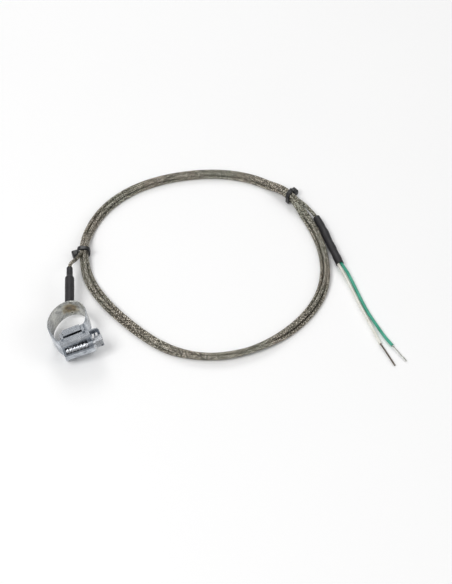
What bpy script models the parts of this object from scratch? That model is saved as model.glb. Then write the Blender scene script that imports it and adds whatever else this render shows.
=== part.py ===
"""Clip-on pipe thermocouple: a worm-drive band clip with a sensor brazed to its band,
a steel-braided lead wound in a tied coil, and two bare-ended connecting leads.

Metres, +Z up. The origin is under the middle of the clip, on the surface it lies on.
Clip pieces are drawn in the clip's own frame (X along the screw, Y towards the sensor,
Z along the pipe), and an empty leans that frame to the left."""

import math

import bmesh
import bpy
from mathutils import Vector

MM = 0.001
GAP = 0.3 * MM  # between pieces that touch
EDGE = 0.12 * MM  # rounding of the pressed strip's edges
RUN = 0.1 * MM  # around a turning pin

# Band
BAND_WIDTH = 13.0 * MM
BAND_THICKNESS = 0.7 * MM
LOOP_LONG = 26.6 * MM  # outside, the loop is slightly oval
LOOP_SHORT = 21.8 * MM
LOOP_SKEW = math.radians(50)
LOOP_RIGHT = math.radians(-24)  # where the loop leaves the oval for the tongue
LOOP_LEFT = math.radians(207)  # and for the screw housing
TONGUE_DEPTH = 7.2 * MM
TONGUE_LENGTH = 11.0 * MM
TAIL_LENGTH = 5.6 * MM  # band end past the housing
TAIL_ROUND = 2.0 * MM
LOOP_INSERT = 1.0 * MM  # loop's end inside the housing's end wall

# Saddle and screw housing
SADDLE_DEPTH = 10.6 * MM
SADDLE_THICKNESS = 0.6 * MM
SADDLE_LENGTH = 14.6 * MM
SADDLE_LIP = 0.9 * MM  # past the band's edges
FLANGE_LENGTH = 10.4 * MM  # turned in over the band's inner end
FLANGE_REACH = 3.5 * MM
LANE = 1.75 * MM  # free room between saddle and band end
SHEET = 0.8 * MM
HOUSING_LENGTH = 17.3 * MM
HOUSING_SHIFT = 0.25 * MM
HOUSING_RISE = 0.7 * MM  # lips, past the screw's axis
LIP_TOP = 1.9 * MM  # the lower lip's edge, past the screw's axis
UPPER_LIP = 1.9 * MM
BARREL_ROOT = 2.0 * MM  # how far the curled lip laps into the housing
HOUSING_STAND = 0.96  # the walls start this share of the lane away from the saddle
FOOT_LENGTH = 1.5 * MM
FOOT_HOOK = 0.8 * MM
FOOT_LAP = 0.05 * MM  # a foot's root, inside the wall
BOSS_WALL = 0.9 * MM
LEFT_CAP = 1.5 * MM
RIGHT_CAP = 2.7 * MM

# Worm screw
THREAD_RADIUS = 3.6 * MM
THREAD_DEPTH = 0.9 * MM
THREAD_PITCH = 2.0 * MM
THREAD_BITE = 0.35 * MM
THREAD_CREST = 0.22  # shares of the pitch
THREAD_FLANK = 0.2
SCREW_TILT = math.radians(3.5)  # the head leans away from the band
NOSE_RADIUS = 1.3 * MM
NECK_RADIUS = 1.8 * MM
COLLAR_RADIUS = 2.5 * MM
COLLAR_LENGTH = 0.8 * MM
HEAD_FLATS = 6.2 * MM
HEAD_LENGTH = 4.4 * MM
HEAD_GAP = 0.6 * MM
SLOT_WIDTH = 1.1 * MM
SLOT_DEPTH = 1.7 * MM
SCREW_TURNS = 2  # from rest to each limit

# Sensor
SENSOR_ANGLE = math.radians(73)
BRAZE_RADIUS = 3.2 * MM
BRAZE_HEIGHT = 0.8 * MM
TUBE_RADIUS = 2.2 * MM
TUBE_WALL = 0.4 * MM
TUBE_LENGTH = 20.0 * MM
BEAD_RADIUS = 0.7 * MM
ELEMENT_RADIUS = 0.25 * MM
ELEMENT_SPACING = 1.4 * MM
ELEMENT_LENGTH = 11.0 * MM
CEMENT_LENGTH = 9.0 * MM
SLEEVE_WALL = 0.3 * MM
SLEEVE_NECK = 7.0 * MM
SLEEVE_START = 0.9 * MM  # bare tube at the band

# Lead
LEAD_RADIUS = 1.05 * MM
LEAN = math.radians(9)
COIL_CENTRE = Vector((90.0, 27.0, 0.0)) * MM
COIL_RADIUS = 70.25 * MM
COIL_WAVES = ((1, 0.3, 0), (2, 2.2, -66), (3, 1.8, 25), (4, 0.9, -33), (5, 0.6, 34))  # count, mm, degrees
COIL_WIDTH = 7.0 * MM
COIL_HEIGHT = 4.3 * MM
TIED_WIDTH = 5.3 * MM  # where the ties draw it together
TIED_HEIGHT = 5.4 * MM
COIL_CUT = 1.2 * MM  # corners of its section, and at a tie
TIED_CUT = 1.7 * MM
BARE_HALF = 2.3 * MM  # the coil's outer half where its last strand has left it
BARE_SPAN = (math.radians(-20), math.radians(22))
BARE_BLEND = math.radians(6)
TIE_ANGLES = {"cable_tie_left": math.radians(157), "cable_tie_right": math.radians(24)}
TIE_WIDTH = 2.5 * MM
TIE_THICKNESS = 1.0 * MM
TIE_HEAD = Vector((3.7, 4.4, 3.6)) * MM  # outwards, along the coil, upwards
TIE_HEAD_RISE = {"cable_tie_left": 0.7 * MM, "cable_tie_right": 1.6 * MM}  # from the coil's underside
TIE_HEAD_SWING = {"cable_tie_left": math.radians(24), "cable_tie_right": math.radians(-4)}
TIE_SLANT = {"cable_tie_left": 0.0, "cable_tie_right": math.tan(math.radians(20))}
TIE_END = 1.0 * MM
TIE_SPREAD = math.radians(16)  # the coil comes back down this far from a tie
TIE_HOLD = 1.2  # tie widths over which it stays fully drawn in
LEAD_IN = ((10.99, 39.76, 11.38), (11.9, 42.1, 11.05), (13.3, 44.1, 10.1), (15.0, 46.1, 8.7), (16.5, 47.9, 7.2))
LEAD_OUT = ((160.12, 46.71, 2.95), (161.35, 42.9, 2.6), (162.45, 38.9, 2.45), (163.03, 34.75, 2.45))

# Tail
TAIL_SLEEVE = ((163.06, 34.4, 2.45), (163.35, 24.8, 2.45), (162.95, 15.2, 2.45), (162.7, 5.2, 2.45),
               (162.35, -4.2, 2.45))
TAIL_SLEEVE_RADIUS = 2.4 * MM
TAIL_SLEEVE_WALL = 0.35 * MM
FERRULE = ((163.22, 29.5, 2.45), (163.35, 26.5, 2.45), (163.34, 24.0, 2.45))
FERRULE_RADIUS = 1.6 * MM
CORE_RADIUS = 0.9 * MM
GREEN = ((163.9, 16.5, 2.45), (163.65, 6.0, 2.45), (163.35, -4.0, 2.4), (164.2, -11.5, 1.7),
         (164.25, -22.1, 1.05), (163.9, -33.9, 0.95), (164.0, -43.4, 0.95), (164.9, -53.1, 0.95),
         (165.95, -61.9, 0.95), (167.4, -68.9, 0.95))
WHITE = ((162.0, 16.5, 2.45), (161.75, 6.0, 2.45), (161.4, -4.0, 2.4), (161.8, -12.0, 1.7),
         (161.95, -23.5, 1.05), (161.65, -34.5, 0.95), (161.7, -44.2, 0.95), (161.7, -51.0, 0.95),
         (161.7, -58.0, 0.95), (161.55, -65.6, 0.95))
GREEN_END = ((167.5, -69.28, 0.95), (169.0, -75.6, 0.7), (170.57, -81.4, 0.5))
WHITE_END = ((161.57, -65.97, 0.95), (162.4, -72.6, 0.7), (163.25, -82.0, 0.5))
CONDUCTOR_RADIUS = 0.45 * MM

HALF_BAND = BAND_THICKNESS / 2
MID = BAND_WIDTH / 2
SADDLE_Y = -SADDLE_DEPTH
END_Y = SADDLE_Y - SADDLE_THICKNESS / 2 - LANE - HALF_BAND  # band end's middle
SCREW_Y = END_Y - HALF_BAND + THREAD_BITE - THREAD_RADIUS
LIP_Y = SCREW_Y - HOUSING_RISE  # outer face of the housing's lips
HOUSING_LEFT = HOUSING_SHIFT - HOUSING_LENGTH / 2
HOUSING_RIGHT = HOUSING_SHIFT + HOUSING_LENGTH / 2
WALL_Z = MID + BAND_WIDTH / 2 + GAP  # inner face of the upper wall
LOOP_END_X = HOUSING_LEFT + SHEET + LOOP_INSERT
SCREW_TRAVEL = SCREW_TURNS * THREAD_PITCH
END_START_X = LOOP_END_X + SCREW_TRAVEL + GAP
THREAD_START = HOUSING_LEFT + LEFT_CAP + GAP
THREAD_END = HOUSING_RIGHT - RIGHT_CAP - GAP

FINISHES = {  # colour, roughness, metallic
    "zinc": ((0.62, 0.65, 0.69), 0.32, 1.0),
    "screw_steel": ((0.58, 0.6, 0.62), 0.3, 1.0),
    "braze": ((0.55, 0.42, 0.26), 0.45, 1.0),
    "stainless": ((0.6, 0.6, 0.58), 0.35, 1.0),
    "nickel_alloy": ((0.5, 0.49, 0.46), 0.4, 1.0),
    "cement": ((0.82, 0.8, 0.74), 0.9, 0.0),
    "glass_fibre": ((0.8, 0.78, 0.72), 0.85, 0.0),
    "shrink_black": ((0.025, 0.025, 0.027), 0.5, 0.0),
    "tie_black": ((0.02, 0.02, 0.021), 0.4, 0.0),
    "braid": ((0.42, 0.41, 0.37), 0.45, 1.0),
    "green": ((0.1, 0.42, 0.3), 0.45, 0.0),
    "white": ((0.82, 0.8, 0.74), 0.5, 0.0),
}


def material(finish):
    found = bpy.data.materials.get(finish)
    if found:
        return found
    colour, roughness, metallic = FINISHES[finish]
    made = bpy.data.materials.new(finish)
    made.use_nodes = True
    shader = made.node_tree.nodes["Principled BSDF"]
    shader.inputs["Base Color"].default_value = (*colour, 1.0)
    shader.inputs["Roughness"].default_value = roughness
    shader.inputs["Metallic"].default_value = metallic
    return made


def add_empty(name):
    empty = bpy.data.objects.new(name, None)
    bpy.context.collection.objects.link(empty)
    return empty


def add_object(name, data, finish, parent):
    obj = bpy.data.objects.new(name, data)
    bpy.context.collection.objects.link(obj)
    obj.parent = parent
    data.materials.append(material(finish))
    return obj


def mesh_from(build, name, smooth=None):
    """A mesh of what build(bm) draws; smooth is the angle under which edges are shaded smooth."""
    bm = bmesh.new()
    build(bm)
    bmesh.ops.recalc_face_normals(bm, faces=bm.faces)
    mesh = bpy.data.meshes.new(name)
    bm.to_mesh(mesh)
    bm.free()
    if smooth is not None:
        mesh.shade_smooth()
        mesh.set_sharp_from_angle(angle=smooth)
    return mesh


def skin_rings(bm, rings, closed=False):
    """Joins rings of points, one after another, and caps the two ends unless closed."""
    loops = [[bm.verts.new(p) for p in ring] for ring in rings]
    count = len(loops[0])
    pairs = list(zip(loops, loops[1:]))
    if closed:
        pairs.append((loops[-1], loops[0]))
    for a, b in pairs:
        for i in range(count):
            j = (i + 1) % count
            bm.faces.new((a[i], a[j], b[j], b[i]))
    if not closed:
        bm.faces.new(loops[0])
        bm.faces.new(loops[-1])


def box_mesh(name, low, high):
    def build(bm):
        made = bmesh.ops.create_cube(bm, size=1.0)
        size = Vector(high) - Vector(low)
        centre = (Vector(high) + Vector(low)) / 2
        bmesh.ops.scale(bm, vec=size, verts=made["verts"])
        bmesh.ops.translate(bm, vec=centre, verts=made["verts"])
    return mesh_from(build, name)


def turned_mesh(name, profile, start, axis, segments=24, smooth=math.radians(40)):
    """A solid of revolution; profile holds (distance along the axis, radius) from end to end.
    A profile that comes back along a bore gives a tube."""
    axis = Vector(axis).normalized()
    side = axis.orthogonal().normalized()
    other = axis.cross(side)
    bored = profile[0] == profile[-1]

    def build(bm):
        rings = []
        for i in range(segments):
            turn = math.tau * i / segments
            out = side * math.cos(turn) + other * math.sin(turn)
            points = profile[:-1] if bored else profile
            rings.append([bm.verts.new(Vector(start) + axis * s + out * r) for s, r in points])
        last = len(rings[0])
        for i in range(segments):
            a, b = rings[i], rings[(i + 1) % segments]
            for k in range(last if bored else last - 1):
                n = (k + 1) % last
                bm.faces.new((a[k], b[k], b[n], a[n]))
        if not bored:
            bm.faces.new([ring[0] for ring in rings])
            bm.faces.new([ring[-1] for ring in rings])
    return mesh_from(build, name, smooth)


def combine(obj, other_mesh, operation, label):
    """Adds or cuts another closed mesh, held by a hidden helper object."""
    helper = bpy.data.objects.new(obj.name + "." + label, other_mesh)
    bpy.context.collection.objects.link(helper)
    helper.parent = obj.parent
    helper.hide_render = True
    helper.display_type = "WIRE"
    modifier = obj.modifiers.new(label, "BOOLEAN")
    modifier.operation = operation
    modifier.object = helper


def smooth_route(points, spacing):
    """Points about spacing apart on a smooth curve through the given ones."""
    knots = [Vector(p) * MM for p in points]
    ends = [2 * knots[0] - knots[1]] + knots + [2 * knots[-1] - knots[-2]]
    route = [knots[0]]
    for a, b, c, d in zip(ends, ends[1:], ends[2:], ends[3:]):
        steps = max(1, round((c - b).length / spacing))
        for i in range(1, steps + 1):
            t = i / steps
            route.append(0.5 * (2 * b + (c - a) * t + (2 * a - 5 * b + 4 * c - d) * t * t
                                + (3 * b - a - 3 * c + d) * t ** 3))
    return route


def cable(name, points, radius, finish, parent):
    curve = bpy.data.curves.new(name, "CURVE")
    curve.dimensions = "3D"
    curve.bevel_depth = radius
    curve.bevel_resolution = 2
    curve.use_fill_caps = True
    route = smooth_route(points, radius * 5)
    spline = curve.splines.new("POLY")
    spline.points.add(len(route) - 1)
    for point, place in zip(spline.points, route):
        point.co = (*place, 1.0)
    return add_object(name, curve, finish, parent)


def oval_point(turn, inset):
    """A point of the loop's oval, inset from its outside."""
    a = LOOP_LONG / 2 - inset
    b = LOOP_SHORT / 2 - inset
    local = turn - LOOP_SKEW
    reach = a * b / math.hypot(b * math.cos(local), a * math.sin(local))
    return Vector((reach * math.cos(turn), reach * math.sin(turn)))


def bezier(a, b, c, d, steps):
    """Points of a cubic curve, without its first one."""
    for i in range(1, steps + 1):
        t = i / steps
        yield a * (1 - t) ** 3 + b * 3 * t * (1 - t) ** 2 + c * 3 * t * t * (1 - t) + d * t ** 3


def band_centreline():
    """From the tongue's tip round the oval to the end inside the housing, in the clip's X and Y."""
    tip = Vector((-TONGUE_LENGTH / 2, -TONGUE_DEPTH))
    bend = Vector((TONGUE_LENGTH / 2 - 1.5 * MM, -TONGUE_DEPTH))
    oval = [oval_point(LOOP_RIGHT + (LOOP_LEFT - LOOP_RIGHT) * i / 48, HALF_BAND) for i in range(49)]
    leave = (oval[0] - oval[1]).normalized()
    enter = (oval[-1] - oval[-2]).normalized()
    mouth = Vector((LOOP_END_X, END_Y))
    path = [tip, (tip + bend) / 2, bend]
    path += list(bezier(bend, bend + Vector((4.0 * MM, 0)), oval[0] + leave * 3.0 * MM, oval[0], 8))
    path += oval[1:]
    path += list(bezier(oval[-1], oval[-1] + enter * 3.4 * MM, mouth - Vector((3.6 * MM, 0)), mouth, 10))
    return path


def band_loop(parent):
    path = band_centreline()

    def build(bm):
        rings = []
        for i, point in enumerate(path):
            along = (path[min(i + 1, len(path) - 1)] - path[max(i - 1, 0)]).normalized()
            side = Vector((-along.y, along.x)) * HALF_BAND
            inner, outer = point + side, point - side
            rings.append([(*inner, 0), (*inner, BAND_WIDTH), (*outer, BAND_WIDTH), (*outer, 0)])
        skin_rings(bm, rings)
    loop = add_object("band_loop", mesh_from(build, "band_loop", math.radians(30)), "zinc", parent)
    round_edges = loop.modifiers.new("edges", "BEVEL")
    round_edges.width = EDGE
    round_edges.segments = 2
    round_edges.limit_method = "ANGLE"
    round_edges.angle_limit = math.radians(60)
    return loop


def slot_mesh(name, x):
    """A cutter for one slot, along the thread's slope where it meets the band."""
    slope = THREAD_PITCH / (math.tau * THREAD_RADIUS)
    half_length = 3.0 * MM
    half_width = 0.62 * MM
    low, high = END_Y - BAND_THICKNESS, END_Y + BAND_THICKNESS

    def build(bm):
        rings = []
        for y in (low, high):
            ring = []
            for across, along in ((-1, -1), (1, -1), (1, 1), (-1, 1)):
                z = along * half_length
                ring.append((x + across * half_width + z * slope, y, MID + z))
            rings.append(ring)
        skin_rings(bm, rings)
    return mesh_from(build, name)


def band_free_end(parent):
    right = HOUSING_RIGHT + TAIL_LENGTH
    corner = TAIL_ROUND
    outline = [(END_START_X, 0), (right - corner, 0), (right - corner * 0.3, corner * 0.3), (right, corner),
               (right, BAND_WIDTH - corner), (right - corner * 0.3, BAND_WIDTH - corner * 0.3),
               (right - corner, BAND_WIDTH), (END_START_X, BAND_WIDTH)]

    def build(bm):
        faces = [[(x, y, z) for x, z in outline] for y in (END_Y - HALF_BAND, END_Y + HALF_BAND)]
        skin_rings(bm, faces)
    end = add_object("band_free_end", mesh_from(build, "band_free_end"), "zinc", parent)
    first = first_crest(END_START_X)
    count = int((right - 1.4 * MM - first) / THREAD_PITCH) + 1
    for i in range(count):
        combine(end, slot_mesh("band_slot", first + i * THREAD_PITCH), "DIFFERENCE", f"slot_{i}")
    return end


def first_crest(after):
    """Where the thread's crest first meets the band, at or next after a place along X."""
    shift = THREAD_RADIUS * math.sin(SCREW_TILT)
    return shift + math.ceil((after - shift) / THREAD_PITCH) * THREAD_PITCH


def saddle_plate(parent):
    """The plate under the screw housing, its two long edges turned in over the band's inner end."""
    half = SADDLE_LENGTH / 2
    inner, outer = SADDLE_Y + SADDLE_THICKNESS / 2, SADDLE_Y - SADDLE_THICKNESS / 2
    low, high = -SADDLE_LIP, BAND_WIDTH + SADDLE_LIP
    plate = add_object("saddle_plate", box_mesh("saddle_plate", (-half, outer, low), (half, inner, high)),
                       "zinc", parent)
    sheet = SADDLE_LIP - GAP
    for label, bottom in (("upper_flange", high - sheet), ("lower_flange", low)):
        flange = box_mesh(label, (-FLANGE_LENGTH / 2, outer, bottom),
                          (FLANGE_LENGTH / 2, inner + FLANGE_REACH, bottom + sheet))
        combine(plate, flange, "UNION", label)
    round_edges = plate.modifiers.new("edges", "BEVEL")
    round_edges.width = EDGE
    round_edges.segments = 2
    return plate


def screw_point(x):
    """A point of the screw's axis."""
    return Vector((x, SCREW_Y - x * math.tan(SCREW_TILT), MID))


def screw_axis():
    return Vector((math.cos(SCREW_TILT), -math.sin(SCREW_TILT), 0))


def extruded(name, outline, left, right):
    """A prism along X of an outline in Y and Z."""
    def build(bm):
        skin_rings(bm, [[(x, y, z) for y, z in outline] for x in (left, right)])
    return mesh_from(build, name)


def screw_housing(parent):
    """A pressed channel over the screw: two walls, lips, an open window, end caps and four feet."""
    top, bottom = WALL_Z + SHEET, BAND_WIDTH - WALL_Z - SHEET
    base = SADDLE_Y - SADDLE_THICKNESS / 2 - LANE * HOUSING_STAND
    lane_top = END_Y - HALF_BAND - GAP
    block = [(base, bottom), (base, top), (LIP_Y + SHEET, top), (LIP_Y, top - SHEET),
             (LIP_Y, bottom + SHEET), (LIP_Y + SHEET, bottom)]
    housing = add_object("screw_housing", extruded("housing", block, HOUSING_LEFT, HOUSING_RIGHT),
                         "zinc", parent)
    lane = box_mesh("lane", (HOUSING_LEFT - MM, lane_top, bottom + SHEET),
                    (HOUSING_RIGHT + MM, base + MM, top - SHEET))
    combine(housing, lane, "DIFFERENCE", "lane")
    left, right = THREAD_START - GAP, THREAD_END + GAP
    combine(housing, barrel_mesh(HOUSING_LEFT, HOUSING_RIGHT, bottom), "UNION", "barrel")
    room = box_mesh("screw_room", (left, LIP_Y + SHEET, bottom + SHEET), (right, lane_top + GAP, top - SHEET))
    combine(housing, room, "DIFFERENCE", "screw_room")
    bore = turned_mesh("worm_bore", [(0, THREAD_RADIUS + GAP), (right - left, THREAD_RADIUS + GAP)],
                       screw_point(left), screw_axis(), 40)
    combine(housing, bore, "DIFFERENCE", "worm_bore")
    window_floor = LIP_Y - THREAD_RADIUS - SHEET - MM
    window = box_mesh("window", (left, window_floor, MID + LIP_TOP),
                      (right, LIP_Y + SHEET + GAP, top - SHEET - UPPER_LIP))
    combine(housing, window, "DIFFERENCE", "window")
    caps = (("left_cap", HOUSING_LEFT, left, NOSE_RADIUS + RUN),
            ("right_cap", right, HOUSING_RIGHT, NECK_RADIUS + RUN))
    inset = 0.05 * MM
    for name, start, end, hole in caps:
        boss = turned_mesh(name + "_boss", [(inset, hole + BOSS_WALL), (end - start - inset, hole + BOSS_WALL)],
                           screw_point(start), (1, 0, 0))
        combine(housing, boss, "UNION", name + "_boss")
    for name, start, end, hole in caps:
        bore = turned_mesh(name + "_bore", [(0, hole), (end - start + 2 * MM, hole)],
                           screw_point(start - MM), screw_axis())
        combine(housing, bore, "DIFFERENCE", name + "_bore")
    reach = SADDLE_LENGTH / 2 - GAP
    for side, x in (("left", -reach), ("right", reach - FOOT_LENGTH)):
        for edge, centre_out in (("upper", 1), ("lower", -1)):
            foot = extruded("foot", foot_outline(base - FOOT_LAP, centre_out), x, x + FOOT_LENGTH)
            combine(housing, foot, "UNION", f"{side}_{edge}_foot")
    return housing


def barrel_mesh(left, right, bottom):
    """The housing's lower lip: it curls out round the screw, up to a little past the screw's axis."""
    radius = THREAD_RADIUS + GAP + SHEET
    inset = 0.05 * MM
    arc = [math.radians(5 + 12 * i) for i in range(6)]

    def build(bm):
        rings = []
        for x in (left + inset, right - inset):
            centre = screw_point(x)
            ring = [(x, centre.y + BARREL_ROOT, MID + LIP_TOP), (x, centre.y - radius, MID + LIP_TOP)]
            ring += [(x, centre.y - radius * math.cos(a), MID - radius * math.sin(a)) for a in arc]
            ring += [(x, centre.y - BARREL_ROOT / 4, bottom + inset), (x, centre.y + BARREL_ROOT, bottom + inset)]
            rings.append(ring)
        skin_rings(bm, rings)
    return mesh_from(build, "barrel")


def foot_outline(base, way):
    """A foot's outline: out from the housing's wall, past the saddle's edge, and hooked under it."""
    under = SADDLE_Y + SADDLE_THICKNESS / 2 + GAP
    near = BAND_WIDTH / 2 + SADDLE_LIP + GAP
    far = near + SHEET
    wall = WALL_Z - MID + SHEET / 2
    steps = ((base - SHEET, wall), (base - SHEET, far), (under + SHEET, far), (under + SHEET, near - FOOT_HOOK),
             (under, near - FOOT_HOOK), (under, near), (base, near), (base, wall))
    return [(y, MID + way * z) for y, z in steps]


def thread_radius(place, turn):
    """The worm's radius at a distance along it and a turn from the band's side."""
    phase = (place / THREAD_PITCH - turn / math.tau + 0.5) % 1.0 - 0.5
    fall = (abs(phase) - THREAD_CREST / 2) / THREAD_FLANK
    return THREAD_RADIUS - THREAD_DEPTH * min(1.0, max(0.0, fall))


def hex_radius(turn, flats):
    return flats / 2 / math.cos(turn % (math.pi / 3) - math.pi / 6)


def worm_screw(parent, segments=36):
    """Nose pin, worm, neck, collar and slotted hexagon head, turned as one piece."""
    stations = []

    def round_part(start, end, radius):
        stations.append((start, lambda turn: radius))
        stations.append((end, lambda turn: radius))
    round_part(HOUSING_LEFT + GAP, THREAD_START, NOSE_RADIUS)
    stations.append((THREAD_START, lambda turn: THREAD_RADIUS - THREAD_DEPTH))
    steps = round((THREAD_END - THREAD_START) / THREAD_PITCH * 10)
    for i in range(1, steps):
        place = THREAD_START + (THREAD_END - THREAD_START) * i / steps
        stations.append((place, lambda turn, place=place: thread_radius(place, turn)))
    stations.append((THREAD_END, lambda turn: THREAD_RADIUS - THREAD_DEPTH))
    head_start = HOUSING_RIGHT + HEAD_GAP + COLLAR_LENGTH
    head_end = head_start + HEAD_LENGTH
    round_part(THREAD_END, HOUSING_RIGHT + HEAD_GAP, NECK_RADIUS)
    round_part(HOUSING_RIGHT + HEAD_GAP, head_start, COLLAR_RADIUS)
    chamfer = 0.4 * MM
    stations.append((head_start, lambda turn: hex_radius(turn, HEAD_FLATS)))
    stations.append((head_end - chamfer, lambda turn: hex_radius(turn, HEAD_FLATS)))
    stations.append((head_end, lambda turn: HEAD_FLATS / 2 - chamfer))

    def build(bm):
        rings = []
        for place, radius in stations:
            ring = []
            for i in range(segments):
                turn = math.tau * i / segments
                ring.append((place, radius(turn) * math.cos(turn), radius(turn) * math.sin(turn)))
            rings.append(ring)
        skin_rings(bm, rings)
    screw = add_object("worm_screw", mesh_from(build, "worm_screw", math.radians(35)), "screw_steel", parent)
    screw.location = screw_point(0)
    screw.rotation_euler = (0, 0, -SCREW_TILT)
    slot = box_mesh("driver_slot", (head_end - SLOT_DEPTH, -HEAD_FLATS, -SLOT_WIDTH / 2),
                    (head_end + SLOT_DEPTH, HEAD_FLATS, SLOT_WIDTH / 2))
    combine(screw, slot, "DIFFERENCE", "driver_slot")
    helper = screw.modifiers["driver_slot"].object
    helper.location, helper.rotation_euler = screw.location, screw.rotation_euler
    return screw


def sensor_direction():
    return Vector((math.cos(SENSOR_ANGLE), math.sin(SENSOR_ANGLE), 0))


def sensor_point(reach):
    """A point on the sensor's axis, reach beyond the band's outer face."""
    wall = oval_point(SENSOR_ANGLE, 0).length
    return sensor_direction() * (wall + reach) + Vector((0, 0, MID))


TUBE_START = 2 * GAP + BRAZE_HEIGHT
TUBE_STOP = TUBE_START + TUBE_LENGTH
SLEEVE_STOP = TUBE_STOP + SLEEVE_NECK


def turned(name, profile, finish, parent, segments=20):
    """A piece turned about the sensor's axis."""
    mesh = turned_mesh(name, profile, sensor_point(0), sensor_direction(), segments)
    return add_object(name, mesh, finish, parent)


def tube_profile(start, stop, outer, inner):
    return [(start, inner), (start, outer), (stop, outer), (stop, inner), (start, inner)]


def sensor(parent):
    """Braze pad, tube, junction bead, its two wires, their cement and the lead's bared end."""
    pad_end = GAP + BRAZE_HEIGHT
    turned("braze_pad", [(GAP, BRAZE_RADIUS), (GAP * 2, BRAZE_RADIUS), (pad_end, TUBE_RADIUS)], "braze", parent)
    turned("sensor_tube", tube_profile(TUBE_START, TUBE_STOP, TUBE_RADIUS, TUBE_RADIUS - TUBE_WALL),
           "stainless", parent)
    bead_at = pad_end + GAP + BEAD_RADIUS
    arc = [math.pi * i / 8 for i in range(9)]
    bead = [(bead_at - BEAD_RADIUS * math.cos(a), max(BEAD_RADIUS * math.sin(a), 0.05 * MM)) for a in arc]
    turned("hot_junction", bead, "nickel_alloy", parent, 16)
    side = Vector((0, 0, ELEMENT_SPACING / 2))
    wire_start = bead_at + BEAD_RADIUS + GAP
    wire_stop = wire_start + ELEMENT_LENGTH
    for name, way in (("positive_element", 1), ("negative_element", -1)):
        mesh = turned_mesh(name, [(wire_start, ELEMENT_RADIUS), (wire_stop, ELEMENT_RADIUS)],
                           sensor_point(0) + side * way, sensor_direction(), 12)
        add_object(name, mesh, "nickel_alloy", parent)
    cement_start = wire_start + GAP * 2
    fill = TUBE_RADIUS - TUBE_WALL - RUN
    cement_stop = cement_start + CEMENT_LENGTH
    cement = turned("cement_fill", [(cement_start, fill), (cement_stop, fill)], "cement", parent)
    for label, way in (("positive_hole", 1), ("negative_hole", -1)):
        hole = ELEMENT_RADIUS + RUN
        bore = turned_mesh(label, [(cement_start - MM, hole), (cement_stop + MM, hole)],
                           sensor_point(0) + side * way, sensor_direction(), 12)
        combine(cement, bore, "DIFFERENCE", label)
    neck_bore = LEAD_RADIUS + RUN * 2
    turned("lead_bared_end", [(wire_stop + GAP, LEAD_RADIUS * 0.8), (TUBE_STOP - 4 * MM, LEAD_RADIUS * 0.8),
                              (TUBE_STOP - 3 * MM, LEAD_RADIUS), (SLEEVE_STOP, LEAD_RADIUS)], "glass_fibre", parent)
    wide, wide_bore = TUBE_RADIUS + RUN + SLEEVE_WALL, TUBE_RADIUS + RUN
    neck = neck_bore + SLEEVE_WALL * 2
    shoulder = TUBE_STOP + GAP
    turned("clamp_sleeve", [(TUBE_START + SLEEVE_START, wide_bore), (TUBE_START + SLEEVE_START, wide),
                            (shoulder, wide), (shoulder + 1.2 * MM, neck), (SLEEVE_STOP, neck),
                            (SLEEVE_STOP, neck_bore), (shoulder + 0.4 * MM, neck_bore), (shoulder, wide_bore),
                            (TUBE_START + SLEEVE_START, wide_bore)], "shrink_black", parent, 24)


def coil_radius(turn):
    """The coil's middle radius: a hand-wound ring is a little out of round."""
    wave = sum(size * MM * math.cos(count * (turn - math.radians(phase))) for count, size, phase in COIL_WAVES)
    return COIL_RADIUS + wave


def tie_pull(turn):
    """How far the ties draw the coil together and hold it up: 1 at a tie, 0 away from both."""
    pull = 0.0
    for tie in TIE_ANGLES.values():
        away = abs((turn - tie + math.pi) % math.tau - math.pi) / TIE_SPREAD
        near = TIE_HOLD * TIE_WIDTH / COIL_RADIUS / TIE_SPREAD
        part = min(1.0, max(0.0, (away - near) / (1 - near)))
        pull = max(pull, (1 + math.cos(math.pi * part)) / 2)
    return pull


def coil_bare(turn):
    """1 between the right tie and where the tail leads away, 0 elsewhere."""
    turn = (turn + math.pi) % math.tau - math.pi
    inside = min(turn - BARE_SPAN[0], BARE_SPAN[1] - turn) / BARE_BLEND
    return min(1.0, max(0.0, inside))


def coil_point(turn, outwards, height):
    reach = coil_radius(turn) + outwards
    place = COIL_CENTRE + Vector((reach * math.cos(turn), reach * math.sin(turn), 0))
    return place + Vector((0, 0, tie_pull(turn) * (TIE_THICKNESS + GAP) + height))


def coil_section(turn, margin):
    """The wound strands' outline, as (outwards, height) pairs, grown by a margin."""
    pull = tie_pull(turn)
    half = (COIL_WIDTH + (TIED_WIDTH - COIL_WIDTH) * pull) / 2 + margin
    outer = half + (BARE_HALF + margin - half) * coil_bare(turn)
    high = COIL_HEIGHT + (TIED_HEIGHT - COIL_HEIGHT) * pull + margin
    cut = COIL_CUT + (TIED_CUT - COIL_CUT) * pull + margin / 2
    return [(-half, cut - margin), (-half + cut, -margin), (outer - cut, -margin), (outer, cut - margin),
            (outer, high - cut), (outer - cut, high), (-half + cut, high), (-half, high - cut)]


def cable_coil(parent, steps=120):
    def build(bm):
        turns = [math.tau * i / steps for i in range(steps)]
        rings = [[coil_point(turn, s, h) for s, h in coil_section(turn, 0)] for turn in turns]
        skin_rings(bm, rings, closed=True)
    return add_object("cable_coil", mesh_from(build, "cable_coil", math.radians(60)), "braid", parent)


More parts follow.
